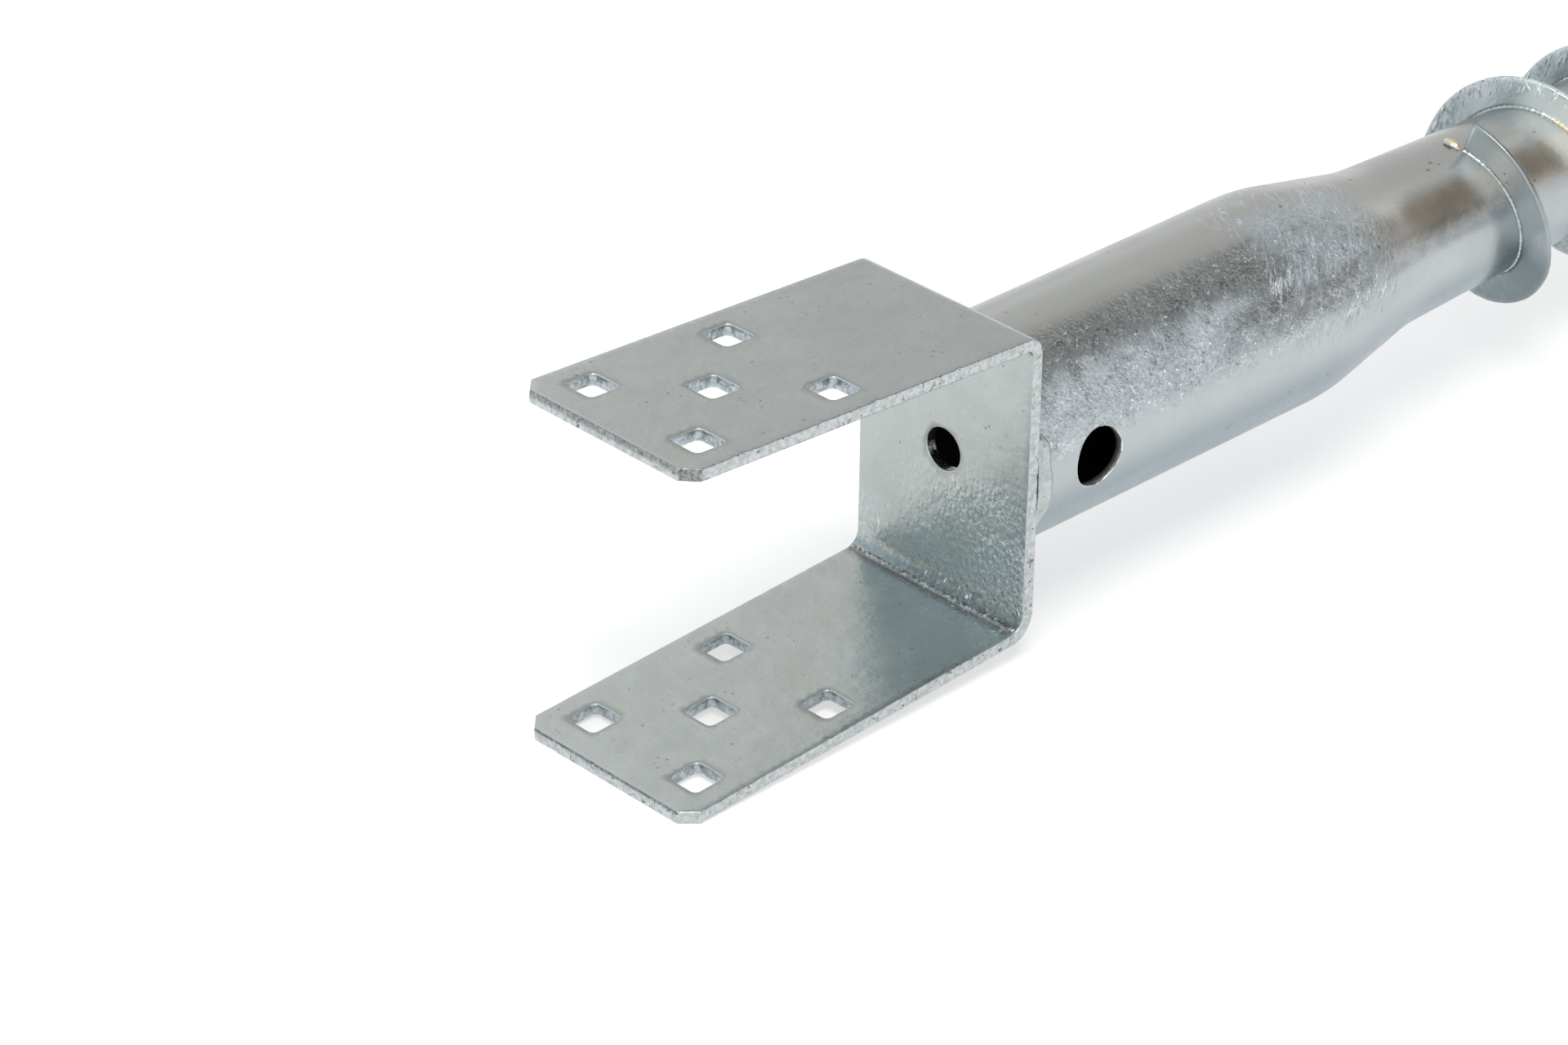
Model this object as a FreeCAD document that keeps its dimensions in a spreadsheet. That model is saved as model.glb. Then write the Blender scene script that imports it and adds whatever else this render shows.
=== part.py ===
import FreeCAD, Part
import math
import os
import Sketcher
from FreeCAD import Placement, Rotation, Vector

# Helical pile with a U-shaped post bracket at its head, hot-dip galvanised and welded.
# The pile lies along X: the bracket opens towards -X and the driving point is at +X, with +Z up.
# The origin is the centre of the bracket's web, on the face where the post ends.

SIZES = {
    # Bracket, folded from one strip of sheet
    "plate_width": 68.6,
    "sheet_thickness": 4.0,
    "inside_width": 91.0,
    "flange_length": 132.5,
    "top_splay": 3.0,
    "bottom_splay": 2.9,
    "top_bend_radius": 2.0,
    "bottom_bend_radius": 5.0,
    "corner_chamfer": 4.8,
    # Square bolt holes, one in the middle and four round it
    "bolt_hole_side": 11.0,
    "bolt_hole_corner": 1.2,
    "hole_pitch_along": 50.7,
    "hole_pitch_across": 42.3,
    "hole_setback": 40.8,
    "web_hole_diameter": 13.5,
    # Shaft, one tube swaged down and closed to a point
    "tube_diameter": 68.4,
    "tube_wall": 2.5,
    "bar_hole_diameter": 18.6,
    "bar_hole_offset": 25.9,
    "step_start": 138.9,
    "step_length": 43.1,
    "neck_diameter": 52.2,
    "step_blend_radius": 80.0,
    "taper_length": 508.0,
    "point_base_diameter": 20.8,
    "point_length": 38.5,
    "point_tip_diameter": 7.0,
    "point_tip_round": 3.0,
    "point_solid_length": 16.0,
    # Helical flight
    "flight_start": 219.1,
    "flight_start_angle": 13.0,
    "flight_pitch": 42.0,
    "flight_turns": 9.0,
    "flight_width": 10.2,
    "flight_thickness": 2.0,
    "root_weld_leg": 1.5,
    # Fillet welds that hold the tube to the bracket
    "head_weld_leg": 6.9,
    "head_weld_rise": 1.1,
    "head_weld_crown": 0.5,
    "head_weld_arc": 60.0,
    "head_weld_angle": 92.0,
}


class Size:
    """A length or factor: its number, and the sheet expression that gives it."""

    def __init__(self, number, text):
        self.number = number
        self.text = text

    def __add__(self, other):
        other = as_size(other)
        return Size(self.number + other.number, f"({self.text} + {other.text})")

    def __sub__(self, other):
        other = as_size(other)
        return Size(self.number - other.number, f"({self.text} - {other.text})")

    def __mul__(self, other):
        other = as_size(other)
        return Size(self.number * other.number, f"({self.text} * {other.text})")

    def __truediv__(self, other):
        other = as_size(other)
        return Size(self.number / other.number, f"({self.text} / {other.text})")

    def __neg__(self):
        return Size(-self.number, f"(-{self.text})")


def as_size(value):
    return value if isinstance(value, Size) else Size(value, repr(float(value)))


def sine(angle):
    return Size(math.sin(math.radians(angle.number)), f"sin({angle.text} * 1deg)")


def cosine(angle):
    return Size(math.cos(math.radians(angle.number)), f"cos({angle.text} * 1deg)")


doc = FreeCAD.newDocument("helical_pile")
sheet = doc.addObject("Spreadsheet::Sheet", "sizes")
for row, (alias, number) in enumerate(SIZES.items(), start=1):
    sheet.set(f"A{row}", alias)
    sheet.set(f"B{row}", str(number))
    sheet.setAlias(f"B{row}", alias)
doc.recompute()


def size(alias):
    """The sheet's value under this alias."""
    return Size(float(sheet.get(alias)), f"sizes.{alias}")


def bind(item, path, value):
    """Ties one property of an object to the sheet."""
    item.setExpression(path, as_size(value).text)


def origin_feature(body, role):
    for feature in body.Origin.OriginFeatures:
        if feature.Role == role:
            return feature
    raise ValueError(role)


def new_body(label):
    body = doc.addObject("PartDesign::Body", label)
    body.Label = label
    return body


def new_sketch(body, name, plane):
    sketch = body.newObject("Sketcher::SketchObject", name)
    sketch.AttachmentSupport = [(origin_feature(body, plane), "")]
    sketch.MapMode = "FlatFace"
    return sketch


def constrain(sketch, value, *terms):
    """Adds a dimension to a sketch, bound to the sheet."""
    index = sketch.addConstraint(Sketcher.Constraint(*terms, as_size(value).number))
    bind(sketch, f"Constraints[{index}]", value)


def closed_outline(sketch, points):
    """A closed run of straight lines through the points, each line joined to the next."""
    count = len(points)
    for index in range(count):
        start = Vector(points[index][0].number, points[index][1].number, 0)
        end = Vector(points[(index + 1) % count][0].number, points[(index + 1) % count][1].number, 0)
        sketch.addGeometry(Part.LineSegment(start, end), False)
    for index in range(count):
        sketch.addConstraint(Sketcher.Constraint("Coincident", index, 2, (index + 1) % count, 1))


def place_points(sketch, points):
    """Sets each corner of an outline by its distance from the sketch's axes."""
    for index, (across, up) in enumerate(points):
        for axis, value, line in (("DistanceX", across, -2), ("DistanceY", up, -1)):
            if value.number == 0:
                sketch.addConstraint(Sketcher.Constraint("PointOnObject", index, 1, line))
            else:
                constrain(sketch, value, axis, -1, 1, index, 1)


def circle(sketch, across, up, diameter):
    centre = Vector(as_size(across).number, as_size(up).number, 0)
    index = sketch.addGeometry(Part.Circle(centre, Vector(0, 0, 1), diameter.number / 2), False)
    constrain(sketch, diameter, "Diameter", index)
    for axis, value, line in (("DistanceX", as_size(across), -2), ("DistanceY", as_size(up), -1)):
        if value.number == 0:
            sketch.addConstraint(Sketcher.Constraint("PointOnObject", index, 3, line))
        else:
            constrain(sketch, value, axis, -1, 1, index, 3)


def edges_where(shape, test):
    return [f"Edge{index}" for index, edge in enumerate(shape.Edges, start=1) if test(edge)]


def runs_along(edge, direction):
    if not isinstance(edge.Curve, Part.Line):
        return False
    return abs(edge.tangentAt(edge.FirstParameter).dot(direction)) > 0.9999


def near(point, target, slack=0.01):
    return point.distanceToPoint(target) < slack


# Bracket

def flange_direction(splay, side):
    """Unit vector along a flange, from its bend to its free end; side is 1 on top, -1 below."""
    return -cosine(splay), sine(splay) * side


def bracket_corners():
    """The section's sharp corners, by flange: outer bend, outer end, inner end, inner bend."""
    sheet_thickness = size("sheet_thickness")
    half_width = size("inside_width") / 2
    length = size("flange_length")
    corners = {}
    for name, splay, side in (("top", size("top_splay"), 1), ("bottom", size("bottom_splay"), -1)):
        along, up = flange_direction(splay, side)
        inner_bend = (as_size(0), half_width * side)
        inner_end = (along * length, half_width * side + up * length)
        outer_end = (inner_end[0] + sine(splay) * sheet_thickness,
                     inner_end[1] + cosine(splay) * sheet_thickness * side)
        rise = sheet_thickness * (as_size(1) - sine(splay)) / cosine(splay)
        outer_bend = (sheet_thickness, (half_width + rise) * side)
        corners[name] = (outer_bend, outer_end, inner_end, inner_bend)
    return corners


def square_hole_sketch(body, name, splay, side):
    """Five squares on the flange's inner face, the flange's own slope being the sketch's."""
    sketch = new_sketch(body, name, "XY_Plane")
    sketch.AttachmentOffset = Placement(Vector(0, 0, 0), Rotation(Vector(0, 1, 0), side * splay.number))
    bind(sketch, ".AttachmentOffset.Base.z", size("inside_width") / 2 * side)
    bind(sketch, ".AttachmentOffset.Rotation.Angle", splay * side)
    hole_side = size("bolt_hole_side")
    pattern_x = size("hole_setback") - size("flange_length")
    places = [(0, 0), (-1, -1), (-1, 1), (1, -1), (1, 1)]
    for along, across in places:
        left = pattern_x + size("hole_pitch_along") / 2 * along - hole_side / 2
        low = size("hole_pitch_across") / 2 * across - hole_side / 2
        add_square(sketch, left, low, hole_side)
    return sketch


def add_square(sketch, left, low, side_length):
    first = sketch.GeometryCount
    right = left.number + side_length.number
    high = low.number + side_length.number
    corners = [Vector(left.number, low.number, 0), Vector(right, low.number, 0),
               Vector(right, high, 0), Vector(left.number, high, 0)]
    for index in range(4):
        sketch.addGeometry(Part.LineSegment(corners[index], corners[(index + 1) % 4]), False)
    for index in range(4):
        joined = first + (index + 1) % 4
        sketch.addConstraint(Sketcher.Constraint("Coincident", first + index, 2, joined, 1))
    for index, direction in enumerate(("Horizontal", "Vertical", "Horizontal", "Vertical")):
        sketch.addConstraint(Sketcher.Constraint(direction, first + index))
    constrain(sketch, side_length, "DistanceX", first, 1, first, 2)
    constrain(sketch, side_length, "DistanceY", first + 1, 1, first + 1, 2)
    constrain(sketch, left, "DistanceX", -1, 1, first, 1)
    constrain(sketch, low, "DistanceY", -1, 1, first, 1)


def make_bracket():
    """One strip folded into a U, with the square holes, the web's hole and cut corners."""
    body = new_body("u_bracket")
    corners = bracket_corners()
    outline = list(corners["top"]) + list(reversed(corners["bottom"]))
    section = new_sketch(body, "bracket_section", "XZ_Plane")
    closed_outline(section, outline)
    place_points(section, outline)
    strip = body.newObject("PartDesign::Pad", "strip")
    strip.Profile = section
    strip.SideType = "Symmetric"
    bind(strip, "Length", size("plate_width"))
    doc.recompute()

    last = strip
    for name in ("top", "bottom"):
        outer_bend, _, _, inner_bend = corners[name]
        sides = (("inner", inner_bend, 0), ("outer", outer_bend, size("sheet_thickness")))
        for layer, corner, extra in sides:
            radius = size(f"{name}_bend_radius") + extra
            last = round_bend(body, f"{name}_{layer}_bend", last, corner, radius)
    last = cut_free_corners(body, last, corners)
    for name, side in (("top", 1), ("bottom", -1)):
        last = punch_squares(body, name, side)
    punch_web_hole(body)
    return body


def round_bend(body, name, base, corner, radius):
    place = Vector(corner[0].number, 0, corner[1].number)

    def at_corner(edge):
        middle = edge.valueAt((edge.FirstParameter + edge.LastParameter) / 2)
        return runs_along(edge, Vector(0, 1, 0)) and near(Vector(middle.x, 0, middle.z), place)

    fillet = body.newObject("PartDesign::Fillet", name)
    fillet.Base = (base, edges_where(base.Shape, at_corner))
    bind(fillet, "Radius", radius)
    doc.recompute()
    return fillet


def cut_free_corners(body, base, corners):
    """Chamfers the four corners of the flanges' free ends, through the sheet."""
    half_plate = size("plate_width").number / 2
    middles = []
    for name in ("top", "bottom"):
        outer_end, inner_end = corners[name][1], corners[name][2]
        middle_x = (outer_end[0].number + inner_end[0].number) / 2
        middle_z = (outer_end[1].number + inner_end[1].number) / 2
        middles += [Vector(middle_x, half_plate, middle_z), Vector(middle_x, -half_plate, middle_z)]

    def at_free_corner(edge):
        middle = edge.valueAt((edge.FirstParameter + edge.LastParameter) / 2)
        return any(near(middle, place) for place in middles)

    chamfer = body.newObject("PartDesign::Chamfer", "free_corners")
    chamfer.Base = (base, edges_where(base.Shape, at_free_corner))
    bind(chamfer, "Size", size("corner_chamfer"))
    doc.recompute()
    return chamfer


def punch_squares(body, name, side):
    """Five square holes through one flange, their corners slightly rounded."""
    splay = size(f"{name}_splay")
    pocket = body.newObject("PartDesign::Pocket", f"{name}_square_holes")
    pocket.Profile = square_hole_sketch(body, f"{name}_square_sketch", splay, side)
    pocket.Type = "ThroughAll"
    pocket.Reversed = side > 0
    doc.recompute()
    through = Vector(math.sin(math.radians(side * splay.number)), 0, math.cos(math.radians(splay.number)))
    half_hole = size("bolt_hole_side").number / 2
    inside = size("plate_width").number / 2 - size("corner_chamfer").number / 2

    def hole_corner(edge):
        middle = edge.valueAt((edge.FirstParameter + edge.LastParameter) / 2)
        from_seat = -middle.x / math.cos(math.radians(splay.number))
        reach = size("flange_length").number - size("hole_setback").number
        spread = size("hole_pitch_along").number / 2 + half_hole + size("sheet_thickness").number
        in_pattern = abs(from_seat - reach) < spread and abs(middle.y) < inside
        return runs_along(edge, through) and in_pattern and middle.z * side > 0

    fillet = body.newObject("PartDesign::Fillet", f"{name}_square_corners")
    fillet.Base = (pocket, edges_where(pocket.Shape, hole_corner))
    bind(fillet, "Radius", size("bolt_hole_corner"))
    doc.recompute()
    return fillet


def punch_web_hole(body):
    sketch = new_sketch(body, "web_hole_sketch", "YZ_Plane")
    circle(sketch, 0, 0, size("web_hole_diameter"))
    pocket = body.newObject("PartDesign::Pocket", "web_hole")
    pocket.Profile = sketch
    pocket.Type = "ThroughAll"
    pocket.Reversed = True
    doc.recompute()


# Shaft

def shaft_stations():
    """Distances along X at which the tube's outline turns."""
    head = size("sheet_thickness")
    step = head + size("step_start")
    neck = step + size("step_length")
    point_base = neck + size("taper_length")
    tip = point_base + size("point_length")
    return head, step, neck, point_base, tip


def make_shaft():
    """One tube: a plain head, a swaged step, a long taper and a closed point."""
    body = new_body("shaft_tube")
    head, step, neck, point_base, tip = shaft_stations()
    wall = size("tube_wall")
    zero = as_size(0)
    head_radius = size("tube_diameter") / 2
    neck_radius = size("neck_diameter") / 2
    base_radius = size("point_base_diameter") / 2
    outline = [
        (head, head_radius - wall),
        (head, head_radius),
        (step, head_radius),
        (neck, neck_radius),
        (point_base, base_radius),
        (tip, size("point_tip_diameter") / 2),
        (tip, zero),
        (tip - size("point_solid_length"), zero),
        (point_base, base_radius - wall),
        (neck, neck_radius - wall),
        (step, head_radius - wall),
    ]
    section = new_sketch(body, "shaft_section", "XZ_Plane")
    closed_outline(section, outline)
    place_points(section, outline)
    turned = body.newObject("PartDesign::Revolution", "turned_tube")
    turned.Profile = section
    turned.ReferenceAxis = (section, ["H_Axis"])
    turned.Angle = 360
    doc.recompute()
    blend = round_rings(body, "step_blend", turned, [outline[2], outline[3]], size("step_blend_radius"))
    round_rings(body, "point_tip_round", blend, [outline[5]], size("point_tip_round"))
    drill_bar_hole(body)
    return body


def round_rings(body, name, base, rings, radius):
    """Rounds the ring edges that a turned outline leaves at the given corners."""

    def is_ring(edge):
        if not isinstance(edge.Curve, Part.Circle):
            return False
        centre = edge.Curve.Center
        return any(abs(centre.x - along.number) < 0.01 and abs(edge.Curve.Radius - up.number) < 0.01
                   for along, up in rings)

    fillet = body.newObject("PartDesign::Fillet", name)
    fillet.Base = (base, edges_where(base.Shape, is_ring))
    bind(fillet, "Radius", radius)
    doc.recompute()
    return fillet


def drill_bar_hole(body):
    """The turning bar's hole, straight through both walls."""
    sketch = new_sketch(body, "bar_hole_sketch", "XZ_Plane")
    circle(sketch, size("sheet_thickness") + size("bar_hole_offset"), 0, size("bar_hole_diameter"))
    pocket = body.newObject("PartDesign::Pocket", "bar_hole")
    pocket.Profile = sketch
    pocket.Type = "ThroughAll"
    pocket.SideType = "Symmetric"
    doc.recompute()


# Flight

def taper_slope():
    """Loss of radius for each millimetre along the taper."""
    drop = size("neck_diameter").number - size("point_base_diameter").number
    return drop / 2 / size("taper_length").number


def taper_radius(along):
    neck = shaft_stations()[2].number
    return size("neck_diameter").number / 2 - taper_slope() * (along - neck)


def flight_end():
    """Where the flight's head-side face ends, near the point."""
    start = size("sheet_thickness").number + size("flight_start").number
    return start + size("flight_pitch").number * size("flight_turns").number


def sweep_round_taper(label, corners):
    """Sweeps a section up the taper's own conical helix, from the point towards the head.

    The section's corners are (radius beyond the helix, distance towards the head), and those at the
    root follow the tube's slope, so the swept root face lies on the tube all the way.
    """
    pitch = size("flight_pitch").number
    turns = size("flight_turns").number
    root = taper_radius(flight_end())
    cone_angle = math.degrees(math.atan(taper_slope()))
    spine = Part.makeHelix(pitch, pitch * turns, root, cone_angle)
    points = [Vector(root + out, 0, along) for out, along in corners]
    sweep = Part.BRepOffsetAPI.MakePipeShell(Part.Wire(spine.Edges))
    sweep.setBiNormalMode(Vector(0, 0, 1))
    sweep.add(Part.makePolygon(points + points[:1]), False, False)
    sweep.build()
    sweep.makeSolid()
    strip = doc.addObject("Part::Feature", label)
    strip.Label = label
    strip.Shape = sweep.shape()
    end_angle = size("flight_start_angle").number + 360 * turns
    about_axis = Rotation(Vector(1, 0, 0), end_angle)
    lie_down = Rotation(Vector(0, 1, 0), -90)
    strip.Placement = Placement(Vector(flight_end(), 0, 0), about_axis.multiply(lie_down))
    return strip


def make_flight():
    """A strip wound edge-on round the taper, with the weld bead along its root towards the head."""
    width = size("flight_width").number
    thickness = size("flight_thickness").number
    leg = size("root_weld_leg").number
    back = -taper_slope() * thickness
    bead = [(taper_slope() * leg, leg), (leg, 0)]
    strip = [(width, 0), (width + back, -thickness), (back, -thickness)]
    return sweep_round_taper("helix_flight", bead + strip)


def make_screw_shaft():
    """The tube and the flight welded round it, two solids that turn as one."""
    shaft = doc.addObject("Part::Compound", "screw_shaft")
    shaft.Label = "screw_shaft"
    shaft.Links = [make_shaft(), make_flight()]
    doc.recompute()
    return shaft


# Welds at the head

def make_head_weld(label, side):
    """A crowned fillet bead between the web and the tube; side is -1 near, 1 far."""
    body = new_body(label)
    head = size("sheet_thickness")
    surface = size("tube_diameter") / 2
    leg = size("head_weld_leg")
    rise = size("head_weld_rise")
    outline = [
        (head, surface),
        (head, surface + rise),
        (head + leg / 2, surface + rise / 2 + size("head_weld_crown")),
        (head + leg, surface),
    ]
    section = new_sketch(body, f"{label}_section", "XZ_Plane")
    closed_outline(section, outline)
    place_points(section, outline)
    bead = body.newObject("PartDesign::Revolution", f"{label}_bead")
    bead.Profile = section
    bead.ReferenceAxis = (section, ["H_Axis"])
    bead.Midplane = True
    bind(bead, "Angle", size("head_weld_arc"))
    body.Placement = Placement(Vector(0, 0, 0), Rotation(Vector(-side, 0, 0), size("head_weld_angle").number))
    bind(body, "Placement.Rotation.Angle", size("head_weld_angle"))
    doc.recompute()
    return body


def make_parts():
    return [
        make_bracket(),
        make_screw_shaft(),
        make_head_weld("head_weld_near", -1),
        make_head_weld("head_weld_far", 1),
    ]


parts = make_parts()
doc.recompute()

for item in doc.Objects:
    if "Invalid" in item.State or "Error" in item.State:
        raise RuntimeError(f"{item.Name} failed: {item.State}")
for part in parts:
    if part.Shape.isNull() or not part.Shape.isValid():
        raise RuntimeError(f"{part.Label} has no valid shape")

os.makedirs("parts", exist_ok=True)
for part in parts:
    part.Shape.exportStep(f"parts/{part.Label}.step")
    box = part.Shape.BoundBox
    print(f"{part.Label}: {len(part.Shape.Solids)} solid, {part.Shape.Volume / 1000:.2f} cm3, "
          f"X {box.XMin:.1f} to {box.XMax:.1f}, Y {box.YMin:.1f} to {box.YMax:.1f}, "
          f"Z {box.ZMin:.1f} to {box.ZMax:.1f}")
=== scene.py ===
from math import asin, atan2, ceil, copysign, cos, degrees, dist, exp, pi, radians, sin, sqrt, tan

import bpy
import numpy as np
from mathutils import Matrix, Vector, noise
from mathutils.geometry import delaunay_2d_cdt


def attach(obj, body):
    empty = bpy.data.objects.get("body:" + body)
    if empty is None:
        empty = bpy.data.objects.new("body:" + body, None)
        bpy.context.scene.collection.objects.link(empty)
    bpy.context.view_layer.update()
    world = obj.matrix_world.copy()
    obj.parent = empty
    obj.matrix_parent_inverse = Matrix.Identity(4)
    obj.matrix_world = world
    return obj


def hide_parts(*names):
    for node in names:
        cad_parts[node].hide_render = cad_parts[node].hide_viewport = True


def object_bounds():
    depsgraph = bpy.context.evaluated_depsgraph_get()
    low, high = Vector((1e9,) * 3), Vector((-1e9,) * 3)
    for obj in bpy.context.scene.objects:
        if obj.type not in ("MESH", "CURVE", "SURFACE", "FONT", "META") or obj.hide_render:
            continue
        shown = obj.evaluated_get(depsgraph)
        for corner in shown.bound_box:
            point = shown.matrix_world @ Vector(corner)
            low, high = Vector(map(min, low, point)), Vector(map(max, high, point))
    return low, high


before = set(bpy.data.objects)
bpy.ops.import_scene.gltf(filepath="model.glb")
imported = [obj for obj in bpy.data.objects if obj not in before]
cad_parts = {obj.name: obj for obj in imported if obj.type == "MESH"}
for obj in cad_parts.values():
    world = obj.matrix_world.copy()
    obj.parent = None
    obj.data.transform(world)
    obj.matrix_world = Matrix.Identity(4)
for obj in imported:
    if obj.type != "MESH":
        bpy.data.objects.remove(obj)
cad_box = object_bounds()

# Looks of a galvanised helical pile. X runs from the bracket to the point, +Z is up, and the camera
# stands towards -X and -Y. The shapes are worked out in millimetres, which mesh_object turns into
# metres. The materials and the studio are in metres.

METRES = 0.001

# Bracket
PLATE_WIDTH = 68.6
SHEET = 4.0
INSIDE_WIDTH = 91.0
FLANGE_LENGTH = 132.5
SPLAY = {"top": 3.0, "bottom": 2.9}
BEND_RADIUS = {"top": 2.0, "bottom": 5.0}
CHAMFER = 4.8
HOLE_SIDE = 11.0
HOLE_CORNER = 1.7
HOLE_PITCH = (50.7, 42.3)
HOLE_SETBACK = 40.8
WEB_HOLE_RADIUS = 6.75
EDGE_ROUND = 0.5
WEB_HOLE_POINTS = 72
OUTLINE_SPACING = 0.7
CRISP_GAP = 0.25
GRID_COLUMNS = 34
GRID_GAP = 0.9
CORNER_GAP = 1.2

# Tube
HEAD = 4.0
HEAD_RADIUS = 34.2
WALL = 2.5
BAR_HOLE_RADIUS = 9.3
BAR_HOLE_AT = 29.9
BAR_HOLE_LIP = 0.35
BAR_HOLE_POINTS = 72
BAR_HOLE_ZONE = 56.0
BAR_HOLE_ROWS = 33
STEP_AT = 142.9
NECK_AT = 186.0
NECK_RADIUS = 26.1
POINT_AT = 694.0
POINT_RADIUS = 10.4
TIP_AT = 732.5
TIP_RADIUS = 3.5
INNER_TIP = (716.0, 0.4)
STEP_BLEND = 80.0
TIP_BLEND = 2.9
TUBE_SIDES = 192
RING_GAP = 2.6
INNER_RING_GAP = 40.0
SIDE_LIMIT = 35.25

# Flight
FLIGHT_AT = 223.1
FLIGHT_ANGLE = 13.0
PITCH = 42.0
TURNS = 9.0
FLIGHT_WIDTH = 10.2
FLIGHT_THICKNESS = 2.0
FLIGHT_RINGS = 130
ROOT_SINK = 0.4
ROOT_LEG = 0.8
ROOT_RINGS = 260
RIPPLE = 1.9
RIPPLE_RADIUS = 25


# Meshes

def linked(name, data):
    """A new object in the scene."""
    made = bpy.data.objects.new(name, data)
    bpy.context.scene.collection.objects.link(made)
    return made


def mesh_object(name, shell, material, node):
    """A smooth piece from the shell's points that its faces use, riding on the pile for its node."""
    mesh = bpy.data.meshes.new(name)
    used = np.unique([corner for face in shell.faces for corner in face])
    number = np.zeros(len(shell.points), int)
    number[used] = np.arange(len(used))
    places = np.asarray(shell.points, float)[used] * METRES
    faces = [tuple(int(number[corner]) for corner in face) for face in shell.faces]
    mesh.from_pydata(places.tolist(), [], faces)
    mesh.polygons.foreach_set("use_smooth", [True] * len(mesh.polygons))
    for mark, values in shell.marks.items():
        layer = mesh.attributes.new(mark, "FLOAT", "POINT")
        layer.data.foreach_set("value", np.asarray(values, np.float32)[used])
    mesh.update()
    mesh.materials.append(material)
    piece = linked(name, mesh)
    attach(piece, "root")
    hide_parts(node)


class Shell:
    """Points and faces gathered ring by ring, with named values, the marks, for each point."""

    def __init__(self, *marks):
        self.points = []
        self.faces = []
        self.marks = {mark: [] for mark in marks}

    def add(self, points, **marks):
        """A new ring; each mark is one value for all of it or a list, and 0 if left out."""
        first = len(self.points)
        self.points.extend(tuple(point) for point in points)
        for mark, values in self.marks.items():
            values.extend(np.broadcast_to(marks.get(mark, 0.0), len(points)))
        return list(range(first, first + len(points)))

    def band(self, lower, upper, flip=False):
        """Faces between two rings; flip turns them over."""
        if flip:
            lower, upper = upper, lower
        for index in range(len(lower)):
            after = (index + 1) % len(lower)
            self.faces.append((lower[index], lower[after], upper[after], upper[index]))

    def cap(self, ring, flip=False):
        self.faces.append(tuple(reversed(ring)) if flip else tuple(ring))

    def loft(self, rings, flip=False):
        """Faces between rings that follow each other, with a cap on the first and on the last."""
        for lower, upper in zip(rings, rings[1:]):
            self.band(lower, upper, flip)
        self.cap(rings[0], not flip)
        self.cap(rings[-1], flip)


def gathered(rows):
    """A list for each mark, from a dictionary of marks for each point."""
    return {name: [row[name] for row in rows] for name in rows[0]}


def fractal(point, size, seed=0.0, octaves=3):
    """Smooth noise from about -1 to 1, with lumps of roughly the given size."""
    place = Vector(point) / size + Vector((seed, seed * 1.7, -seed))
    return noise.fractal(place, 1.0, 2.0, octaves)


def ease(low, high, value):
    """0 up to low and 1 from high, with a smooth change between; low may be the larger one."""
    share = min(max((value - low) / (high - low), 0.0), 1.0)
    return share * share * (3 - 2 * share)


def within(start, end, blend, value):
    """1 between start and end, fading to 0 over blend outside them."""
    return ease(start - blend, start, value) * (1 - ease(end, end + blend, value))


# Outlines in the flat

def between(start, end, share):
    return start[0] + (end[0] - start[0]) * share, start[1] + (end[1] - start[1]) * share


def dense(line, spacing):
    """The same line with points no further apart than spacing."""
    result = []
    for start, end in zip(line, line[1:]):
        steps = max(1, ceil(dist(start, end) / spacing))
        result += [between(start, end, step / steps) for step in range(steps)]
    return result + [line[-1]]


def divided(corners, spacing):
    """The same for a closed outline."""
    return dense(corners + corners[:1], spacing)[:-1]


def crisp(corners, near):
    """The same corners with a point close to each on either side, so that shading keeps them sharp."""
    result = []
    for index, corner in enumerate(corners):
        for other in (corners[index - 1], corner, corners[(index + 1) % len(corners)]):
            gap = dist(corner, other)
            result.append(between(corner, other, near / gap if gap else 0.0))
    return result


def rounded_square(centre, side, radius, arc_steps=5, spacing=0.8):
    corners = []
    reach = side / 2 - radius
    for quarter in range(4):
        middle = radians(45 + 90 * quarter)
        hub = (centre[0] + copysign(reach, cos(middle)), centre[1] + copysign(reach, sin(middle)))
        for step in range(arc_steps + 1):
            angle = radians(90 * quarter + 90 * step / arc_steps)
            corners.append((hub[0] + radius * cos(angle), hub[1] + radius * sin(angle)))
    return divided(corners, spacing)


def round_outline(centre, radius, count):
    angles = [2 * pi * index / count for index in range(count)]
    return [(centre[0] + radius * cos(angle), centre[1] + radius * sin(angle)) for angle in angles]


def outward(points):
    """Mitre vectors that point away from an anticlockwise outline's inside."""
    ring = np.asarray(points)
    before = ring - np.roll(ring, 1, axis=0)
    after = np.roll(ring, -1, axis=0) - ring
    before /= np.linalg.norm(before, axis=1)[:, None]
    after /= np.linalg.norm(after, axis=1)[:, None]
    first = np.column_stack([before[:, 1], -before[:, 0]])
    second = np.column_stack([after[:, 1], -after[:, 0]])
    total = first + second
    return total * 2 / (total * total).sum(axis=1)[:, None]


def filled(outline, holes, inner_points):
    """The area inside an outline and outside its holes, as points, triangles and the loops' indices.

    Points inside a hole come back too, but no triangle uses them.
    """
    loops = [outline] + holes
    points = [Vector(point) for loop in loops for point in loop]
    edges = []
    first = 0
    for loop in loops:
        edges += [(first + index, first + (index + 1) % len(loop)) for index in range(len(loop))]
        first += len(loop)
    points += [Vector(point) for point in inner_points]
    flat, _, triangles, origin, _, _ = delaunay_2d_cdt(points, edges, [], 1, 1e-6)
    where = {}
    for index, sources in enumerate(origin):
        for source in sources:
            where[source] = index
    centres = [(np.mean(hole, axis=0), np.asarray(hole)) for hole in holes]
    kept = []
    for triangle in triangles:
        middle = sum((flat[corner] for corner in triangle), Vector((0, 0))) / 3
        if not any(inside(middle, centre, hole) for centre, hole in centres):
            kept.append(tuple(triangle))
    numbers = iter(range(len(points)))
    indices = [[where[next(numbers)] for _ in loop] for loop in loops]
    return [tuple(point) for point in flat], kept, indices


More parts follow.
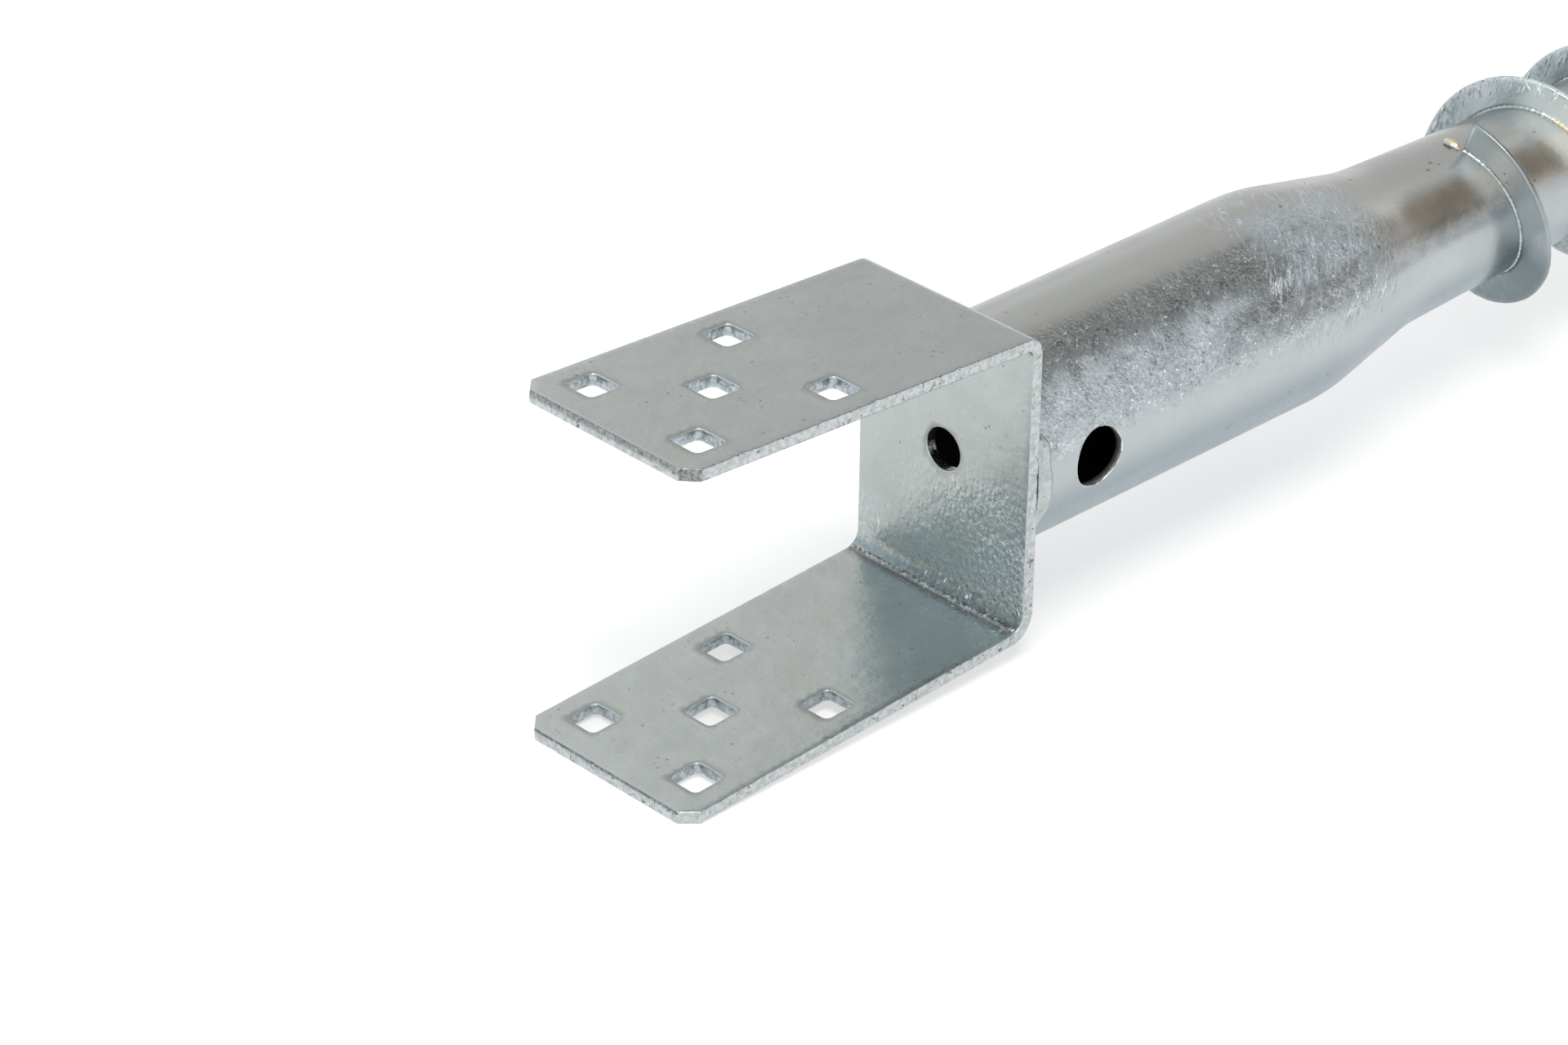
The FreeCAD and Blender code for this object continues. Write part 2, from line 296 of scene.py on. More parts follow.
def inside(point, centre, hole):
    """Whether a point is in a hole, an outline that every ray from its centre meets once."""
    reach = np.linalg.norm(hole - centre, axis=1)
    away = dist(point, centre)
    if away > reach.max():
        return False
    if away < reach.min():
        return True
    rays = np.arctan2(hole[:, 1] - centre[1], hole[:, 0] - centre[0])
    ray = atan2(point[1] - centre[1], point[0] - centre[0])
    turn = np.abs(np.angle(np.exp(1j * (rays - ray))))
    near = np.argsort(turn)[:2]
    return away < reach[near].mean()


def clear_of(points, loops, gap):
    """The points that lie further than gap from every loop."""
    grid = np.asarray(points)
    keep = np.ones(len(grid), bool)
    for loop in loops:
        for point in loop:
            keep &= np.linalg.norm(grid - point, axis=1) > gap
    return [tuple(point) for point in grid[keep]]


# Bracket

class BracketProfile:
    """The folded strip's middle line, measured from the top flange's free end."""

    def __init__(self):
        self.lead = {name: BEND_RADIUS[name] / tan(radians(45 + SPLAY[name] / 2))
                     for name in SPLAY}
        self.arc = {name: (BEND_RADIUS[name] + SHEET / 2) * radians(90 - SPLAY[name])
                    for name in SPLAY}
        self.top_flat = FLANGE_LENGTH - self.lead["top"]
        self.web_start = self.top_flat + self.arc["top"]
        web = INSIDE_WIDTH - self.lead["top"] - self.lead["bottom"]
        self.web_end = self.web_start + web
        self.bottom_start = self.web_end + self.arc["bottom"]
        self.length = self.bottom_start + FLANGE_LENGTH - self.lead["bottom"]
        self.web_middle = self.web_start + INSIDE_WIDTH / 2 - self.lead["top"]

    def place(self, along, across, depth):
        """A point of the sheet; depth runs from -SHEET / 2 inside the U to SHEET / 2 outside it."""
        if along > self.web_middle:
            x, z = self.half("bottom", self.length - along, depth)
            return x, across, -z
        x, z = self.half("top", along, depth)
        return x, across, z

    def half(self, name, along, depth):
        """The same for one flange and half the web, as if it were the top one."""
        out = depth + SHEET / 2
        radius = BEND_RADIUS[name]
        flat = FLANGE_LENGTH - self.lead[name]
        splay = radians(SPLAY[name])
        seat = INSIDE_WIDTH / 2
        if along <= flat:
            reach = FLANGE_LENGTH - along
            return (-reach * cos(splay) + out * sin(splay),
                    seat + reach * sin(splay) + out * cos(splay))
        if along >= flat + self.arc[name]:
            return out, seat - self.lead[name] - (along - flat - self.arc[name])
        angle = pi / 2 - splay - (along - flat) / (radius + SHEET / 2)
        centre_z = seat - radius * (1 - sin(splay)) / cos(splay)
        return -radius + (radius + out) * cos(angle), centre_z + (radius + out) * sin(angle)


def edge_steps():
    """Each ring of the sheet's edge, as how far out it lies and its depth, from the U's outer face."""
    flat = SHEET / 2 - EDGE_ROUND
    steps = []
    for angle in (0, 30, 60, 90):
        turn = radians(angle)
        steps.append((-EDGE_ROUND + EDGE_ROUND * sin(turn), flat + EDGE_ROUND * cos(turn)))
    middle = [(0.0, flat * share) for share in (0.6, 0.2, -0.2, -0.6)]
    return steps + middle + [(out, -depth) for out, depth in reversed(steps)]


def sheared(point, depth, roughness):
    """How far a cut edge sinks at a point: long tears, small pits and now and then a deep one."""
    tear = 0.05 * fractal((point[0], point[1], depth * 3), 5.0, 3.1)
    pit = ease(0.32, 0.62, fractal(point, 1.3, 8.3, 2))
    deep = ease(0.50, 0.66, fractal(point, 3.4, 21.7, 2))
    return -(0.05 + tear + 0.12 * pit + 0.30 * deep) * roughness


def make_bracket(material):
    profile = BracketProfile()
    half_width = PLATE_WIDTH / 2
    length = profile.length
    cut = CHAMFER
    corners = [(cut, -half_width), (length - cut, -half_width), (length, -half_width + cut),
               (length, half_width - cut), (length - cut, half_width), (cut, half_width),
               (0, half_width - cut), (0, -half_width + cut)]
    outline = divided(crisp(corners, CRISP_GAP), OUTLINE_SPACING)
    holes = []
    for middle in (HOLE_SETBACK, length - HOLE_SETBACK):
        for along, across in ((0, 0), (-1, -1), (-1, 1), (1, -1), (1, 1)):
            centre = (middle + along * HOLE_PITCH[0] / 2, across * HOLE_PITCH[1] / 2)
            holes.append(rounded_square(centre, HOLE_SIDE, HOLE_CORNER))
    holes.append(round_outline((profile.web_middle, 0), WEB_HOLE_RADIUS, WEB_HOLE_POINTS))

    loops = [(np.asarray(outline), outward(outline))]
    loops += [(np.asarray(hole), -outward(hole)) for hole in holes]
    inset = [(points - EDGE_ROUND * out).tolist() for points, out in loops]
    grid = []
    for index, along in enumerate(sheet_rows(profile)):
        shift = 0.5 if index % 2 else 0.0
        spacing = PLATE_WIDTH / GRID_COLUMNS
        grid += [(along, -half_width + (step + shift) * spacing) for step in range(1, GRID_COLUMNS)]
    # No point of the grid may stand in or near a cut corner
    grid = [(along, across) for along, across in grid
            if min(along, length - along) + half_width - abs(across) > cut + CORNER_GAP]
    flat, triangles, indices = filled(inset[0], inset[1:], clear_of(grid, inset, GRID_GAP))

    shell = Shell("edge", "depth", "hole", "bead", "soot", "pebble", "cove", "lip")
    rims = [hole_mark(point, holes) for point in flat]
    outer = shell.add([profile.place(*point, SHEET / 2) for point in flat], depth=1.0, hole=rims)
    inner = shell.add([profile.place(*point, -SHEET / 2) for point in flat], depth=-1.0, hole=rims,
                      **gathered([inside_mark(profile, *point) for point in flat]))
    for a, b, c in triangles:
        shell.faces.append((outer[a], outer[b], outer[c]))
        shell.faces.append((inner[c], inner[b], inner[a]))
    for number, ((points, out), ring_indices) in enumerate(zip(loops, indices)):
        is_hole = number > 0
        roughness = 0.25 if is_hole else 1.0
        previous = [outer[index] for index in ring_indices]
        for far, depth in edge_steps()[1:-1]:
            on_wall = 1.0 - ease(0.0, EDGE_ROUND, -far)
            ring = []
            for point, away in zip(points, out):
                place = np.asarray(profile.place(point[0], point[1], depth))
                sink = sheared(place, depth, roughness) * on_wall
                moved = point + away * (far + sink)
                ring.append(profile.place(moved[0], moved[1], depth))
            lips = 0.0 if is_hole else [lip_mark(profile, point, depth) for point in points]
            current = shell.add(ring, edge=on_wall, depth=depth / (SHEET / 2), hole=float(is_hole),
                                lip=lips)
            shell.band(previous, current, flip=not is_hole)
            previous = current
        shell.band(previous, [inner[index] for index in ring_indices], flip=not is_hole)
    mesh_object("bracket", shell, material, "u_bracket")


def sheet_rows(profile):
    """Rows of points along the strip, close together round the two bends."""
    rows = list(np.arange(1.5, profile.top_flat - 1, 2.0))
    rows += list(np.linspace(profile.top_flat, profile.web_start, 11))
    rows += list(np.arange(profile.web_start + 1.5, profile.web_end - 1, 2.0))
    rows += list(np.linspace(profile.web_end, profile.bottom_start, 21))
    rows += [profile.bottom_start + step for step in (0.6, 1.2, 1.9, 2.7)]
    rows += list(np.arange(profile.bottom_start + 4.0, profile.length - 1, 2.0))
    return rows


def lip_mark(profile, point, depth):
    """The darker upper line along the flanges' free ends, and the dark near corner of the top one."""
    along, across = point
    if along > profile.length - 0.4:
        return ease(0.7, 1.4, -depth)
    if along < 0.4:
        return 0.75 * ease(-0.6, 0.6, depth)
    if along < CHAMFER + 0.2 and across < 0 and along - across > PLATE_WIDTH / 2 - CHAMFER:
        return 0.8
    return 0.0


def inside_mark(profile, along, across):
    """Inside the U: the bead in the lower bend, a painted shadow under it, painted shade in the bend's
    hollow and the pebbled zinc over it.
    """
    start, end = profile.web_end, profile.bottom_start
    past = along - end
    middle = -2.4 + 0.25 * fractal((across, 0, 0), 6.0, 4.0, 2)
    far_side = 0.45 + 0.55 * ease(-30, 12, across)
    # Painted shadow under the bead: a dark line and a wider soft band
    line = 0.9 * within(middle + 1.3, middle + 2.1, 0.6, past) * far_side
    # The hollow's painted shade is lighter towards the far side
    fade_to_far = 1 - 0.55 * ease(4, 32, across)
    low_web = within(start - 26, end - 3.2, 20, along)
    near_side = ease(20, -34, across) * 0.6
    far_corner = ease(14, 34, across) * within(start - 10, end - 3.2, 8, along)
    near_corner = ease(-6, -26, across) * within(start - 16, end - 3.2, 8, along)
    spread = low_web * (0.45 + near_side) * ease(30, 8, across)
    return {"bead": within(middle - 0.5, middle + 0.5, 0.75, past),
            "soot": max(line, 0.5 * within(middle + 1.4, middle + 2.8, 2.6, past)),
            # Painted shade in the lower bend's hollow
            "cove": within(start + 2.2, end - 3.4, 2.0, along) * fade_to_far,
            "pebble": spread + 0.9 * far_corner + 0.7 * near_corner}


def hole_mark(point, holes):
    """1 at a hole's rim, fading to 0 at 1.2 mm from it."""
    rims = [np.asarray(hole) for hole in holes if dist(point, hole[0]) <= 20]
    gaps = [np.hypot(rim[:, 0] - point[0], rim[:, 1] - point[1]).min() for rim in rims]
    return 1.0 - ease(EDGE_ROUND, 1.2, min(gaps, default=99.0))


# Tube

def rounded_line(points, radii):
    """Points of a line whose corners are rounded, as (along, radius) pairs."""
    result = [points[0]]
    for index in range(1, len(points) - 1):
        corner = Vector(points[index])
        back = (Vector(points[index - 1]) - corner).normalized()
        ahead = (Vector(points[index + 1]) - corner).normalized()
        radius = radii.get(index, 0)
        if not radius:
            result.append(tuple(corner))
            continue
        half = back.angle(ahead) / 2
        reach = radius / tan(half)
        hub = corner + (back + ahead).normalized() * (radius / sin(half))
        start = corner + back * reach - hub
        end = corner + ahead * reach - hub
        sweep = start.angle_signed(end)
        for step in range(9):
            spoke = start.copy()
            spoke.rotate(Matrix.Rotation(-sweep * step / 8, 2))
            result.append(tuple(hub + spoke))
    return result + [points[-1]]


def round_pile(along, radius, angle):
    """A point of the pile, no further to the side than the CAD; the angle runs from +Z towards -Y."""
    side = -radius * sin(angle)
    return along, max(-SIDE_LIMIT, min(SIDE_LIMIT, side)), radius * cos(angle)


def swage_mark(along):
    """1 over the swaged step, where the tube was squeezed."""
    return within(STEP_AT - 16, NECK_AT - 14, 16, along)


def dented(along, radius, angle):
    """The tube's outer radius with the gentle unevenness of the real one."""
    around = (along * 0.35, radius * sin(angle), radius * cos(angle))
    gentle = 0.02 * fractal((along * 0.5, around[1], around[2]), 13.0, 5.0, 2)
    ridges = 0.07 * fractal((along, around[1] * 0.2, around[2] * 0.2), 2.4, 12.0, 2)
    return radius + gentle + ridges * swage_mark(along)


def tube_mark(along, lean):
    """The tube's tones at a place, given by distance along and degrees from the top: the zinc's frost,
    streaks and brown patch, and painted reflection and shade in bands round the tube.
    """
    head_frost = within(46, 70, 14, lean) * (1 - ease(70, 150, along))
    step_frost = within(128, 152, 16, along) * within(14, 58, 14, lean)
    upper = within(24, 41, 9, lean) * (1 - ease(112, 140, along))
    lower = within(56, 68, 8, lean) * within(94, 150, 14, along)
    neck = 0.7 * within(57, 68, 8, lean) * within(166, 226, 20, along)
    return {"frost": max(head_frost, step_frost),
            # Painted highlight: a paler strip along the frost's middle.
            "frost_top": within(45, 55, 8, lean) * (1 - ease(80, 140, along)),
            "brown": within(38, 56, 12, lean) * ease(150, 196, along),
            # Painted reflection: a beige tint over the top of the tube.
            "warm": within(-14, 22, 16, lean),
            # Painted shade: a bluish darkening over the underside.
            "cool": within(114, 180, 26, lean) * (1 - 0.4 * ease(180, 260, along)),
            # Painted shade: a darker strip just past the top, on the far side.
            "crown": within(-60, -20, 14, lean),
            # Painted shade: dark bands beside the frost and along the neck.
            "shade": max(0.6 * upper, lower, neck),
            "speck_zone": within(26, 74, 12, lean) * (1 - ease(150, 176, along)),
            "streak": within(122, 160, 12, along) * within(-5, 70, 22, lean),
            "along": along,
            "around": radians(lean) * HEAD_RADIUS}


def tube_marks(places):
    """The same for many places, given by distance along and angle."""
    return gathered([tube_mark(along, degrees(atan2(sin(angle), cos(angle))))
                     for along, angle in places])


def ring_angles():
    """Angles round the tube; the first and last meet at its underside."""
    return [pi + 2 * pi * index / TUBE_SIDES for index in range(TUBE_SIDES)]


def pierced_head(shell, radius, hole_radius, outside):
    """The tube's head, pierced on both sides; gives its end rings and the holes' rims."""
    step = 2 * pi / TUBE_SIDES
    around = [pi + step * index for index in range(TUBE_SIDES + 1)]
    rows = np.linspace(HEAD, BAR_HOLE_ZONE, BAR_HOLE_ROWS)
    outline = [(angle * radius, HEAD) for angle in around]
    outline += [(around[-1] * radius, row) for row in rows[1:-1]]
    outline += [(angle * radius, BAR_HOLE_ZONE) for angle in reversed(around)]
    outline += [(around[0] * radius, row) for row in reversed(rows[1:-1])]
    holes = [[rim_flat(radius, hole_radius, middle, facing, turn) for turn in bar_hole_turns()]
             for middle, facing in ((pi * 1.5, -1), (pi * 2.5, 1))]
    grid = []
    for index, row in enumerate(rows[1:-1]):
        shift = 0.5 if index % 2 else 0.0
        grid += [((angle + step * shift) * radius, row) for angle in around[1:-1]]
    seam_start, seam_end = around[0] * radius, around[-1] * radius
    grid = [point for point in clear_of(grid, holes, 0.8) if abs(point[0] - seam_start) > 0.8]
    flat, triangles, indices = filled(outline, holes, grid)
    places = [(along, unrolled / radius) for unrolled, along in flat]
    points = [round_pile(along, dented(along, radius, angle) if outside else radius, angle)
              for along, angle in places]
    # The inside surface is marked for painted shade
    ids = shell.add(points, **(tube_marks(places) if outside else {"inner": 1.0}))
    # The two sides of the unrolled tube meet in one seam at its underside
    seam = {round(along, 3): ids[index] for index, (unrolled, along) in enumerate(flat)
            if abs(unrolled - seam_start) < 1e-4}
    for index, (unrolled, along) in enumerate(flat):
        if abs(unrolled - seam_end) < 1e-4:
            ids[index] = seam[round(along, 3)]
    for a, b, c in triangles:
        triangle = (ids[a], ids[b], ids[c])
        shell.faces.append(triangle if outside else triangle[::-1])
    loop = [ids[index] for index in indices[0]]
    back = TUBE_SIDES + len(rows) - 1
    far_ring = loop[back:back + TUBE_SIDES + 1][::-1][:TUBE_SIDES]
    rims = [[ids[index] for index in hole] for hole in indices[1:]]
    return loop[:TUBE_SIDES], far_ring, rims


def bar_hole_turns():
    return [2 * pi * index / BAR_HOLE_POINTS for index in range(BAR_HOLE_POINTS)]


def rim_flat(radius, hole_radius, middle, facing, turn):
    """A point of the bar hole's rim on the unrolled tube."""
    along = BAR_HOLE_AT + hole_radius * cos(turn)
    height = hole_radius * sin(turn)
    lean = asin(height / radius)
    return (middle - facing * lean) * radius, along


def make_tube(material):
    profile = rounded_line([(HEAD, HEAD_RADIUS), (STEP_AT, HEAD_RADIUS), (NECK_AT, NECK_RADIUS),
                            (POINT_AT, POINT_RADIUS), (TIP_AT, TIP_RADIUS), (TIP_AT, 0.0)],
                           {1: STEP_BLEND, 2: STEP_BLEND, 4: TIP_BLEND})
    shell = Shell("hole", "inner", "frost", "brown", "warm", "cool", "streak", "speck_zone",
                  "along", "around", "shade", "crown", "frost_top")
    head, joint, rims = pierced_head(shell, HEAD_RADIUS, BAR_HOLE_RADIUS + BAR_HOLE_LIP, True)
    bore = HEAD_RADIUS - WALL
    inner_head, inner_joint, inner_rims = pierced_head(shell, bore, BAR_HOLE_RADIUS, False)
    shell.band(inner_head, head)
    for rim, inner_rim, side in zip(rims, inner_rims, (1, -1)):
        ring_hole_wall(shell, rim, inner_rim, side)

    angles = ring_angles()
    outer_line = [point for point in profile if point[0] > BAR_HOLE_ZONE]
    outer_line = dense([(BAR_HOLE_ZONE, HEAD_RADIUS)] + outer_line, RING_GAP)
    previous = joint
    for along, radius in outer_line[1:-1]:
        # The unevenness fades out at the point
        fade = ease(0.0, 8.0, radius)
        ring = [round_pile(along, radius + (dented(along, radius, angle) - radius) * fade, angle)
                for angle in angles]
        current = shell.add(ring, **tube_marks([(along, angle) for angle in angles]))
        shell.band(previous, current)
        previous = current
    shell.cap(previous)

    inner_line = [(BAR_HOLE_ZONE, bore), (STEP_AT, bore), (NECK_AT, NECK_RADIUS - WALL),
                  (POINT_AT, POINT_RADIUS - WALL), INNER_TIP]
    previous = inner_joint
    for along, radius in dense(inner_line, INNER_RING_GAP)[1:]:
        # The bore is marked for painted shade as well
        current = shell.add([round_pile(along, radius, angle) for angle in angles], inner=1.0)
        shell.band(current, previous)
        previous = current
    shell.cap(previous, flip=True)
    mesh_object("tube", shell, material, "screw_shaft")


def ring_hole_wall(shell, rim, inner_rim, side):
    """The bar hole's wall through the tube, with a softened, slightly torn lip; side is its Y side."""
    previous = rim
    for extra, sink in ((0.17, 0.05), (0.05, 0.14), (0.0, 0.4), (0.0, 1.0), (0.0, 1.7)):
        ring = []
        for turn in bar_hole_turns():
            place = (cos(turn) * 9, sin(turn) * 9, sink * 2 + side)
            rough = 0.20 * fractal(place, 1.6, 4.0, 2) * ease(0.0, 0.3, sink)
            reach = BAR_HOLE_RADIUS + extra + rough
            along = BAR_HOLE_AT + reach * cos(turn)
            height = reach * sin(turn)
            radius = HEAD_RADIUS - sink
            ring.append((along, side * sqrt(radius ** 2 - height ** 2), height))
        # Painted shade deepens into the hole
        current = shell.add(ring, hole=1.0, inner=0.95 * ease(0.15, 1.2, sink))
        shell.band(previous, current, flip=side > 0)
        previous = current
    shell.band(previous, inner_rim, flip=side > 0)


# Flight and its welds

def taper_radius(along):
    slope = (NECK_RADIUS - POINT_RADIUS) / (POINT_AT - NECK_AT)
    return NECK_RADIUS - slope * (along - NECK_AT)


def helix_point(turn, out, back):
    """A point by the flight, from turns since its start, distance out and distance towards the head.

    The flight's first corner is bent a little towards the point.
    """
    bent = (0.9 + 1.3 * max(out, 0) / FLIGHT_WIDTH) * exp(-turn * 16)
    along = FLIGHT_AT + PITCH * turn - back + bent
    angle = radians(FLIGHT_ANGLE + 360 * turn)
    return round_pile(along, taper_radius(along) + out, angle)


def flight_section():
    """The strip's section as (out, back) pairs; its root sinks into the tube."""
    rounding = 0.55
    arc = [(FLIGHT_WIDTH - rounding + rounding * sin(radians(angle)),
            -rounding + rounding * cos(radians(angle))) for angle in (0, 30, 60, 90)]
    flat = [(FLIGHT_WIDTH * share, 0.0) for share in (0.15, 0.3, 0.45, 0.6, 0.72, 0.84)]
    face = [(-ROOT_SINK, 0.0)] + flat + arc
    return face + [(out, -FLIGHT_THICKNESS - back) for out, back in reversed(face)]


def flight_reach(turn):
    """How much wider than its section the strip stands: the first turn bulges low on the near side."""
    lean = FLIGHT_ANGLE + 360 * turn
    bulge = 1.5 * exp(-((lean - 113) / 33) ** 2)
    wander = 0.25 * fractal((turn * 9, 0, 0), 1.0, 2.0, 2)
    return bulge + wander


def make_flight(material):
    shell = Shell("rim", "bright", "dull", "drip", "early")
    section = flight_section()
    steps = int(TURNS * FLIGHT_RINGS)
    rings = []
    for step in range(steps + 1):
        turn = TURNS * step / steps
        reach = flight_reach(turn)
        ring = []
        for out, back in section:
            share = max(out, 0) / FLIGHT_WIDTH
            place = helix_point(turn, out, back)
            lump = 0.09 * fractal(place, 2.6, 7.0, 2) * (share > 0.05)
            swollen = back + lump * (1 if back > -1 else -1)
            ring.append(helix_point(turn, out + reach * share + lump, swollen))
        rims = [ease(0.86, 0.97, out / FLIGHT_WIDTH) for out, _ in section]
        lean = (FLIGHT_ANGLE + 360 * turn + 180) % 360 - 180
        first_turn = 1 - ease(0.25, 0.7, turn)
        # Painted reflection: paler over the top of the later turns; painted shade: darker low down and
        # on the far side
        bright = within(6, 46, 26, lean) * (1 - first_turn) * (1 - 0.6 * ease(1.6, 2.4, turn))
        dull = within(112, 175, 26, lean) + within(-175, -62, 34, lean) * (1 - first_turn)
        drip = within(-75, 12, 20, lean) * ease(0.2, 0.5, turn)
        wet = [drip * ease(0.45, 0.8, out / FLIGHT_WIDTH) for out, _ in section]
        rings.append(shell.add(ring, rim=rims, bright=bright, dull=dull, drip=wet, early=first_turn))
    shell.loft(rings, flip=True)
    mesh_object("flight", shell, material, "screw_shaft")


def bead_section(leg, count=9):
    """A fillet bead's section, bulging a little between its two legs."""
    section = [(-0.3, -0.3)]
    for step in range(count):
        angle = radians(90 * step / (count - 1))
        bulge = 1 - 0.22 * sin(2 * angle)
        section.append((leg * cos(angle) * bulge, leg * sin(angle) * bulge))
    return section


def make_root_weld(material):
    """The rippled bead along the flight's root, on the side towards the head."""
    shell = Shell("gold")
    steps = int(TURNS * ROOT_RINGS)
    rings = []
    for step in range(steps + 1):
        turn = TURNS * step / steps
        arc = turn * 2 * pi * RIPPLE_RADIUS
        first_turn = 1 - ease(0.5, 0.8, turn)
        uneven = (0.25 + 0.15 * first_turn) * fractal((arc, 0, 0), 2.0, 6.0, 2)
        ripple = 1 + 0.20 * sin(arc * 2 * pi / RIPPLE) + uneven
        slim = 0.88 - 0.18 * first_turn
        golden = ease(-0.15, 0.15, fractal((arc, 3, 0), 17.0, 2.0, 2))
        gold = 0.75 * ease(0.75, 0.95, turn) * golden
        ring = [helix_point(turn, *(leg * ripple * slim if leg > 0 else leg for leg in legs))
                for legs in bead_section(ROOT_LEG)]
        rings.append(shell.add(ring, gold=gold))
    shell.loft(rings)
    mesh_object("root_weld", shell, material, "screw_shaft")


def make_tack(material):
    """The bright lump of weld just ahead of the flight's first corner."""
    shell = Shell("gold", "burnt")
    middle_angle = radians(3.5)
    middle_along = 223.6
    half_arc = 3.4
    half_along = 1.8
    rise = 1.9
    slices = 22
    around = 40
    spins = [2 * pi * step / around for step in range(around)]
    # Painted highlight: gold over the tack's top; painted shade: dark round its sides and base
    glow = [0.75 * ease(0.35, 0.9, sin(spin)) for spin in spins]
    burnt = [1 - ease(0.0, 0.45, sin(spin)) for spin in spins]
    rings = []
    for number in range(1, slices):
        tilt = pi * number / slices
        side = cos(tilt) * half_arc
        lean = sin(tilt)
        ring = []
        for spin in spins:
            along = cos(spin) * lean * half_along
            up = sin(spin) * lean * rise
            lump = 1 + 0.16 * fractal((side, along, up), 1.4, 9.0, 3)
            radius = taper_radius(middle_along) + max(up * lump, -0.6)
            angle = middle_angle + side * lump / taper_radius(middle_along)
            ring.append(round_pile(middle_along + along * lump, radius, angle))
        rings.append(shell.add(ring, gold=glow, burnt=burnt))
    shell.loft(rings, flip=True)
    mesh_object("tack_weld", shell, material, "screw_shaft")


def head_weld_height(angle_share, leg_share):
    """Height of the head weld's face over the tube, from its end lobes to its toe."""
    crown = sin(pi * min(leg_share * 0.8 + 0.2, 1.0)) ** 0.8
    ends = ease(0.0, 0.06, angle_share) * ease(0.0, 0.10, 1 - angle_share)
    return crown * ends


def make_head_weld(name, node, side, material):
    """A lobed fillet between the web and the tube; side is -1 on the camera's side."""
    shell = Shell("burnt")
    start, end = 62.5, 121.5
    steps = 110
    legs = 18
    leg_length = 6.6
    sink = 0.6
    rings = []
    for step in range(steps + 1):
        share = step / steps
        angle = radians(start + (end - start) * share) * (1 if side < 0 else -1)
        lobe = sqrt(max(1 - (1 - min(share / 0.17, 1)) ** 2, 0))
        narrow = 1 - 0.62 * ease(0.66, 1.0, share)
        waist = 1 - 0.10 * exp(-((share - 0.30) / 0.09) ** 2)
        leg = max(leg_length * lobe * narrow * waist, 0.5)
        ring = []
        for leg_step in range(legs + 1):
            leg_share = leg_step / legs
            along = HEAD + leg * leg_share
            place = round_pile(along, HEAD_RADIUS, angle)
            height = head_weld_height(share, leg_share) * (1 + 0.22 * fractal(place, 2.4, 15.0, 3))
            edge_drop = ease(0.82, 1.0, leg_share)
            height = height * (1 - edge_drop) - 0.15 * edge_drop
            ring.append(round_pile(along, HEAD_RADIUS + height, angle))
        ring += [round_pile(along, HEAD_RADIUS - sink, angle) for along in (HEAD + leg, HEAD)]
        seam = [0.75 * within(0.84, 0.91, 0.06, leg_step / legs) for leg_step in range(legs + 1)]
        rings.append(shell.add(ring, burnt=seam + [0.0, 0.0]))
    shell.loft(rings, flip=side < 0)
    mesh_object(name, shell, material, node)


# Materials

class Graph:
    """A short way to write the nodes of a material or of the world."""

    def __init__(self, owner):
        self.owner = owner
        owner.use_nodes = True
        self.tree = owner.node_tree

    def node(self, kind, inputs=None, **settings):
        made = self.tree.nodes.new(kind)
        for key, value in settings.items():
            setattr(made, key, value)
        for key, value in (inputs or {}).items():
            self.feed(made.inputs[key], value)
        return made

    def feed(self, socket, value):
        """Links a socket to an output or sets it; a colour is given as three numbers."""
        if isinstance(value, bpy.types.NodeSocket):
            self.tree.links.new(value, socket)
        elif socket.type == "RGBA":
            socket.default_value = (*value, 1.0)
        else:
            socket.default_value = value

    def surface(self, inputs, shader="Principled BSDF"):
        """Feeds the shader that the nodes came with, and gives its output."""
        made = self.tree.nodes[shader]
        for key, value in inputs.items():
            self.feed(made.inputs[key], value)
        return made.outputs[0]

    def place(self):
        """The point on the object, in metres."""
        return self.node("ShaderNodeTexCoord").outputs["Object"]

    def mapped(self, vector, scale=(1.0, 1.0, 1.0), location=(0.0, 0.0, 0.0)):
        inputs = {"Vector": vector, "Scale": scale, "Location": location}
        return self.node("ShaderNodeMapping", inputs).outputs[0]

    def math(self, kind, first, second=0.0, clamp=False):
        made = self.node("ShaderNodeMath", {0: first, 1: second}, operation=kind, use_clamp=clamp)
        return made.outputs[0]

    def times(self, first, second):
        return self.math("MULTIPLY", first, second)

    def plus(self, first, second, clamp=False):
        return self.math("ADD", first, second, clamp)

    def rest(self, value):
        """What the value leaves of 1, no less than 0."""
        return self.math("SUBTRACT", 1.0, value, True)

    def ramp(self, value, low, high, start=0.0, end=1.0):
        """A smooth change from start to end while the value goes from low to high."""
        inputs = {"Value": value, "From Min": low, "From Max": high, "To Min": start, "To Max": end}
        return self.node("ShaderNodeMapRange", inputs, interpolation_type="SMOOTHSTEP").outputs[0]

    def mix(self, share, first, second):
        """A colour that goes from the first to the second with the share."""
        return self.node("ShaderNodeMix", {0: share, 6: first, 7: second}, data_type="RGBA").outputs[2]


